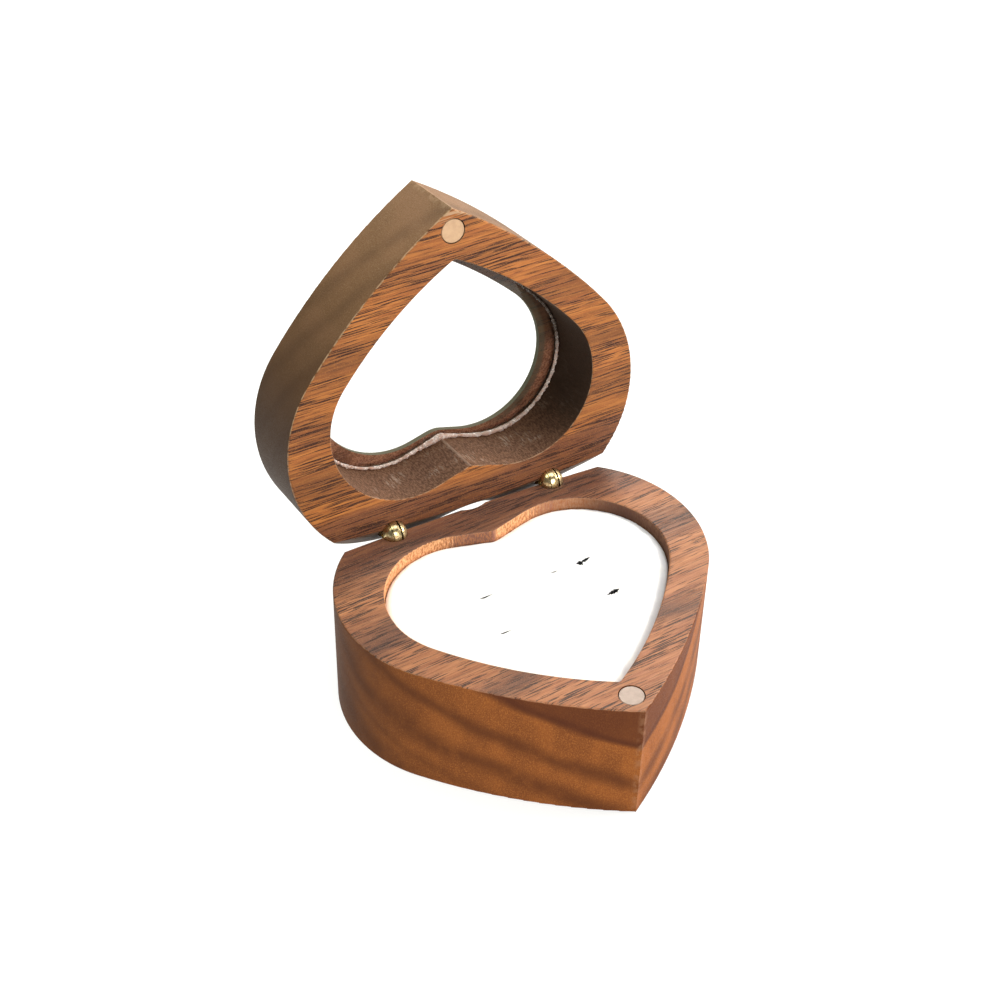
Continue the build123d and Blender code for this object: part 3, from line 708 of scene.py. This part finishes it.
def cushion_mesh(materials):
    """Closed cushion with two cut slits, flat on top, ready to be blown up."""
    rim = heart_outline(BASE_POCKET, CUSHION_INSET, CUSHION_STEP)
    slits = [slit_outline(*ends) for ends in SLITS]
    points, edges = list(rim), [(i, (i + 1) % len(rim)) for i in range(len(rim))]
    for slit in slits:
        first = len(points)
        points += slit
        edges += [(first + i, first + (i + 1) % len(slit)) for i in range(len(slit))]
    rng = random.Random(SIM_SEED)
    row, y = 0, -BASE_POCKET["tip"]
    while y < BASE_POCKET["tip"]:
        x = -30.0 + (CUSHION_STEP / 2 if row % 2 else 0.0)
        while x < 30.0:
            spot = Vector((x + rng.uniform(-0.12, 0.12), y + rng.uniform(-0.12, 0.12)))
            if inside(spot, rim) and distance_to(spot, rim) > 0.7:
                if all(distance_to(spot, slit) > 0.45 and not inside(spot, slit) for slit in slits):
                    points.append(spot)
            x += CUSHION_STEP
        y += CUSHION_STEP * 0.87
        row += 1
    flat, _, triangles, _, _, _ = delaunay_2d_cdt(points, edges, [], 0, 1e-6)
    assert len(flat) == len(points)
    top, foot = CUSHION_TOP / MM, CUSHION_FOOT / MM
    vertices = [Vector((v.x, v.y, top)) for v in flat]
    faces, slots = [], []
    for triangle in triangles:
        middle = (flat[triangle[0]] + flat[triangle[1]] + flat[triangle[2]]) / 3
        if inside(middle, rim) and not any(inside(middle, slit) for slit in slits):
            faces.append(tuple(triangle))
            slots.append(0)
    # Side: rings of quads down to the foot, closed by a fan.
    levels = [top - 0.5, top - CUSHION_SHOULDER, top - 4.0, top - 8.0, foot + 0.6, foot + 0.05]
    above = list(range(len(rim)))
    for level in levels:
        below = list(range(len(vertices), len(vertices) + len(rim)))
        vertices += [Vector((v.x, v.y, level)) for v in rim]
        for i in range(len(rim)):
            j = (i + 1) % len(rim)
            faces.append((above[i], below[i], below[j], above[j]))
            slots.append(0)
        above = below
    hub = len(vertices)
    vertices.append(Vector((0.0, -6.0, levels[-1])))
    for i in range(len(rim)):
        faces.append((above[i], hub, above[(i + 1) % len(rim)]))
        slots.append(0)
    # Slit walls, closed along the bottom of each cut.
    first = len(rim)
    for slit in slits:
        count = len(slit)
        above = list(range(first, first + count))
        first += count
        for drop in (0.05, 3.0, SLIT_DEPTH):
            below = list(range(len(vertices), len(vertices) + count))
            vertices += [Vector((v.x, v.y, top - drop)) for v in slit]
            for i in range(count):
                j = (i + 1) % count
                faces.append((above[i], above[j], below[j], below[i]))
                # Below the top edge the slit walls take the near-black foam: painted shade in the cuts.
                slots.append(0 if drop < 1.0 else 1)
            above = below
        for i in range(1, SLIT_STEPS):
            before = above[i - 1] if i > 1 else above[0]
            after = above[-i + 1] if i > 1 else above[0]
            faces.append((before, above[i], above[-i], after))
            slots.append(1)
        faces.append((above[SLIT_STEPS - 1], above[SLIT_STEPS], above[SLIT_STEPS + 1]))
        slots.append(1)
    faces = [tuple(dict.fromkeys(face)) for face in faces]
    cushion = mesh_object("ring_cushion", [v * MM for v in vertices], faces, materials)
    for polygon, slot in zip(cushion.data.polygons, slots):
        polygon.material_index = slot
    mesh = bmesh.new()
    mesh.from_mesh(cushion.data)
    bmesh.ops.recalc_face_normals(mesh, faces=mesh.faces)
    mesh.to_mesh(cushion.data)
    mesh.free()
    return cushion


def blow_up(cushion):
    """Cloth simulation: the cover fills with its foam, held by the pocket and the slits' bottoms."""
    rest = [v.co.copy() for v in cushion.data.vertices]
    held = cushion.vertex_groups.new(name="held")
    for v in cushion.data.vertices:
        depth = (CUSHION_TOP - v.co.z) / MM
        held.add([v.index], min(1.0, max(0.0, (depth - 0.2) / 2.4)), "REPLACE")
    cushion.data.transform(Matrix.Scale(SIM_SCALE, 4))
    cloth = cushion.modifiers.new("cloth", "CLOTH")
    settings = cloth.settings
    settings.quality = 6
    settings.mass = 0.2
    settings.tension_stiffness = 12
    settings.compression_stiffness = 12
    settings.shear_stiffness = 6
    settings.bending_stiffness = 1.5
    settings.vertex_group_mass = "held"
    settings.pin_stiffness = 1.0
    settings.use_pressure = True
    settings.uniform_pressure_force = 1.6
    settings.effector_weights.gravity = 0.0
    cloth.point_cache.frame_start = 1
    cloth.point_cache.frame_end = SIM_FRAMES
    scene = bpy.context.scene
    for step in range(1, SIM_FRAMES + 1):
        scene.frame_set(step)
    evaluated = cushion.evaluated_get(bpy.context.evaluated_depsgraph_get())
    moved = [v.co.copy() / SIM_SCALE for v in evaluated.data.vertices]
    cushion.modifiers.remove(cloth)
    scene.frame_set(1)
    return rest, moved


def finish_cushion(cushion, rest, moved):
    """Caps the blown-up shape, rolls the edge over and presses the lips of the slits down a little."""
    rim = heart_outline(BASE_POCKET, CUSHION_INSET, CUSHION_STEP)
    slits = [slit_outline(*ends) for ends in SLITS]
    for v, old, new in zip(cushion.data.vertices, rest, moved):
        step = new - old
        limit = PUFF_CAP * MM
        if step.length > limit:
            step *= limit / step.length
        place = old + Vector((step.x * 0.08, step.y * 0.08, step.z))
        flat = Vector((old.x / MM, old.y / MM))
        depth = (CUSHION_TOP - old.z) / MM
        if depth < 0.01:
            edge = min(1.0, distance_to(flat, rim) / 3.2)
            place.z -= ROLL * MM * (1.0 - math.sqrt(max(0.0, 1.0 - (1.0 - edge) ** 2)))
            lip = min(distance_to(flat, slit) for slit in slits)
            place.z -= 0.45 * MM * max(0.0, 1.0 - lip / 2.0) ** 2
        elif depth < 1.0 and distance_to(flat, rim) < 0.05:
            place.z = min(place.z, old.z - ROLL * MM)
        v.co = place


def make_cushion(materials):
    cushion = cushion_mesh(materials)
    rest = moved = [v.co.copy() for v in cushion.data.vertices]
    rest, moved = blow_up(cushion)
    finish_cushion(cushion, rest, moved)
    smooth = cushion.modifiers.new("smooth", "SUBSURF")
    smooth.levels = smooth.render_levels = 1
    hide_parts("cushion_cover", "cushion_foam")
    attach(cushion, "base")
    return cushion


# ================================================================================== stage
def make_floor():
    """Plain pale floor with a low rim far away, which closes most of the horizon in low views."""
    g = Graph("pale_floor")
    p = object_mm(g)
    mottle = g.noise(p, 0.01, 2.0)
    g.principled(
        Base_Color=g.mix(mottle, (0.31, 0.31, 0.31), (0.33, 0.33, 0.33)),
        Roughness=0.9,
        Specular_IOR_Level=0.1,
        Emission_Color=(1.0, 1.0, 1.0),
        Emission_Strength=FLOOR_GLOW,
    )
    half = FLOOR_HALF
    outline = [(-half, -half), (half, -half), (half, half), (-half, half)]
    corners = [(x, y, z) for z in (0.0, FLOOR_RIM) for x, y in outline]
    rim = [(i, i + 4, (i + 1) % 4 + 4, (i + 1) % 4) for i in range(4)]
    floor = mesh_object("floor", corners, [(0, 1, 2, 3)] + rim, [g.material], smooth=False)
    floor.location.z = -FLOOR_DROP


def make_light(name, place, aim, size, power, colour):
    """Soft rectangular light at a place, aimed at a point."""
    light = bpy.data.lights.new(name, "AREA")
    light.shape = "RECTANGLE"
    light.size, light.size_y = size
    light.energy = power
    light.color = colour
    lamp = bpy.data.objects.new(name, light)
    lamp.location = place
    lamp.rotation_euler = (Vector(aim) - Vector(place)).to_track_quat("-Z", "Y").to_euler()
    bpy.context.scene.collection.objects.link(lamp)


def make_world(colour, strength):
    world = bpy.data.worlds.new("studio")
    world.use_nodes = True
    background = world.node_tree.nodes["Background"]
    background.inputs[0].default_value = (*colour, 1.0)
    background.inputs[1].default_value = strength
    bpy.context.scene.world = world


def make_camera(place, azimuth, elevation, roll, lens):
    """Camera at a place, looking along an azimuth from +Y and down by an elevation (degrees)."""
    a, e, r = (math.radians(v) for v in (azimuth, elevation, roll))
    forward = Vector((-math.sin(a) * math.cos(e), math.cos(a) * math.cos(e), -math.sin(e)))
    level = forward.cross(Vector((0.0, 0.0, 1.0))).normalized()
    upright = level.cross(forward)
    right = level * math.cos(r) + upright * math.sin(r)
    up = upright * math.cos(r) - level * math.sin(r)
    data = bpy.data.cameras.new("camera")
    data.lens = lens
    data.sensor_width = 36.0
    data.clip_start, data.clip_end = 0.01, 20.0
    camera = bpy.data.objects.new("camera", data)
    camera.matrix_world = Matrix((
        (right.x, up.x, -forward.x, place[0]),
        (right.y, up.y, -forward.y, place[1]),
        (right.z, up.z, -forward.z, place[2]),
        (0.0, 0.0, 0.0, 1.0),
    ))
    bpy.context.scene.collection.objects.link(camera)
    bpy.context.scene.camera = camera


FLOOR_GLOW = 0.74
FLOOR_HALF = 4.5            # metres: the corners pass the view cameras' far clip when the box is shut
FLOOR_RIM = 0.3
FLOOR_DROP = 0.00005        # keeps it just clear of the underside
make_camera((-0.1379, -0.2283, 0.2663), azimuth=-29.76, elevation=39.53, roll=1.31, lens=65.79)
make_world((1.0, 0.985, 0.95), 0.17)
# Each light: name, place, aim, size, power in watts, colour.
make_light("key", (0.34, -0.08, 0.22), (0.0, 0.0, 0.03), (0.25, 0.25), 2.2, (1.0, 0.97, 0.92))
make_light("top", (0.10, 0.05, 0.80), (0.0, 0.0, 0.0), (0.5, 0.5), 2.2, (1.0, 1.0, 1.0))
make_light("back_right", (0.35, 0.45, 0.45), (0.0, 0.02, 0.05), (0.3, 0.3), 2.6, (1.0, 0.99, 0.90))
make_light("front", (-0.05, -0.70, 0.35), (0.0, 0.0, 0.05), (0.4, 0.4), 3.6, (1.0, 0.98, 0.93))
make_light("upper_left", (-0.26, 0.16, 0.66), (0.0, 0.02, 0.06), (0.35, 0.35), 2.6, (0.90, 1.0, 0.82))
make_light("back_fill", (0.12, 0.62, 0.20), (0.0, 0.02, 0.04), (0.3, 0.3), 1.5, (1.0, 0.98, 0.95))
make_floor()

# ================================================================================== dressing the frame
brass_material = brass()
node_materials = {
    "base_body": walnut("walnut_base", object_mm, 0.0, BASE_LOOK),
    "lid_frame": walnut("walnut_lid", closed_lid_mm, OPEN, LID_LOOK),
    "window_pane": acrylic(),
    "base_magnet": nickel("nickel_base", (0.285, 0.212, 0.182), (0.24, 0.18, 0.152), 0.3),
    "lid_magnet": nickel("nickel_lid", (0.525, 0.342, 0.203), (0.46, 0.29, 0.17), 0.4),
    "cushion_card": card(),
}
for node_name, node_object in NODES.items():
    material = node_materials.get(node_name)
    if "hinge" in node_name:
        material = brass_material
    if material:
        node_object.data.materials.clear()
        node_object.data.materials.append(material)

make_bead(glue())
make_cushion([velvet(), shaded_slit_foam()])

bpy.context.scene.view_settings.view_transform = "Standard"
